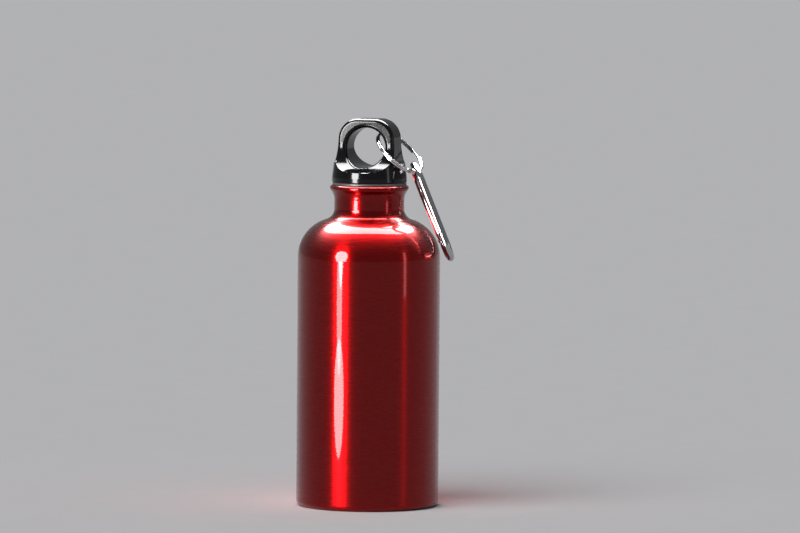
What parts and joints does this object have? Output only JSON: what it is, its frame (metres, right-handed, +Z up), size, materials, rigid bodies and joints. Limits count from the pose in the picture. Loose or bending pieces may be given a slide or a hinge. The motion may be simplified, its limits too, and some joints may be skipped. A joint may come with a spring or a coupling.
{
  "type": "water bottle",
  "caption": "Single-wall aluminium drinking bottle with a domed base, round shoulder, screw cap with finger loop, split ring and small carabiner.",
  "frame": {"origin": "where the bottle's axis meets the surface that the bottle stands on", "axes": "+Z up along the bottle's axis through the cap; the cap's finger hole runs along Y; the ring and the carabiner hang on the +X side"},
  "size_m": [0.0749, 0.065, 0.1768],
  "materials": {
    "red_metal": "glossy translucent red over finely brushed metal",
    "neck_metal": "machined",
    "seal_rubber": "matte, slightly translucent",
    "cap_plastic": "glossy",
    "ring_steel": "bright nickel",
    "clip_metal": "polished",
    "pin_steel": "bright"
  },
  "bodies": {
    "bottle": {"bottle_shell": "red_metal", "neck_thread_ring": "neck_metal"},
    "seal_carrier": {"cap_seal": "seal_rubber"},
    "cap": {"cap": "cap_plastic"},
    "ring": {"split_ring": "ring_steel"},
    "clip": {"carabiner_frame": "clip_metal", "gate_hinge_pin": "pin_steel"},
    "gate": {"carabiner_gate": "clip_metal", "gate_latch_pin": "pin_steel", "gate_spring": "pin_steel"},
    "plunger": {"gate_plunger": "pin_steel"}
  },
  "joints": [
    {"name": "cap_lift", "type": "slide", "parent": "bottle", "child": "seal_carrier", "axis": [0, 0, 1], "range_m": [0, 0.018]},
    {"name": "cap_turn", "type": "hinge", "parent": "seal_carrier", "child": "cap", "pos_m": [0, 0, 0.15], "axis": [0, 0, 1], "range_deg": [0, 1440.01]},
    {"name": "ring_swing", "type": "hinge", "parent": "cap", "child": "ring", "pos_m": [0.0092, -0.0002, 0.163], "axis": [0, -1, 0], "range_deg": [0, 70]},
    {"name": "clip_swing", "type": "hinge", "parent": "ring", "child": "clip", "pos_m": [0.02139, -0.00193, 0.15301], "axis": [-0.3621, -0.9241, 0.122], "range_deg": [0, 90]},
    {"name": "gate_open", "type": "hinge", "parent": "clip", "child": "gate", "pos_m": [0.03355, 0.00443, 0.12191], "axis": [0.8526, 0.3789, 0.3599], "range_deg": [0, 28], "stiffness_Nm_per_rad": 0.01, "springref_deg": -20.05},
    {"name": "plunger_slide", "type": "slide", "parent": "gate", "child": "plunger", "axis": [-0.4641, 0.2324, 0.8548], "range_m": [0, 0.000464], "deforming": ["gate_spring"]}
  ],
  "couplings": [
    {"joint": "cap_turn", "follows": "cap_lift", "rad_per_m": 1396.3},
    {"joint": "gate_open", "follows": "plunger_slide", "rad_per_m": 1052.6}
  ]
}
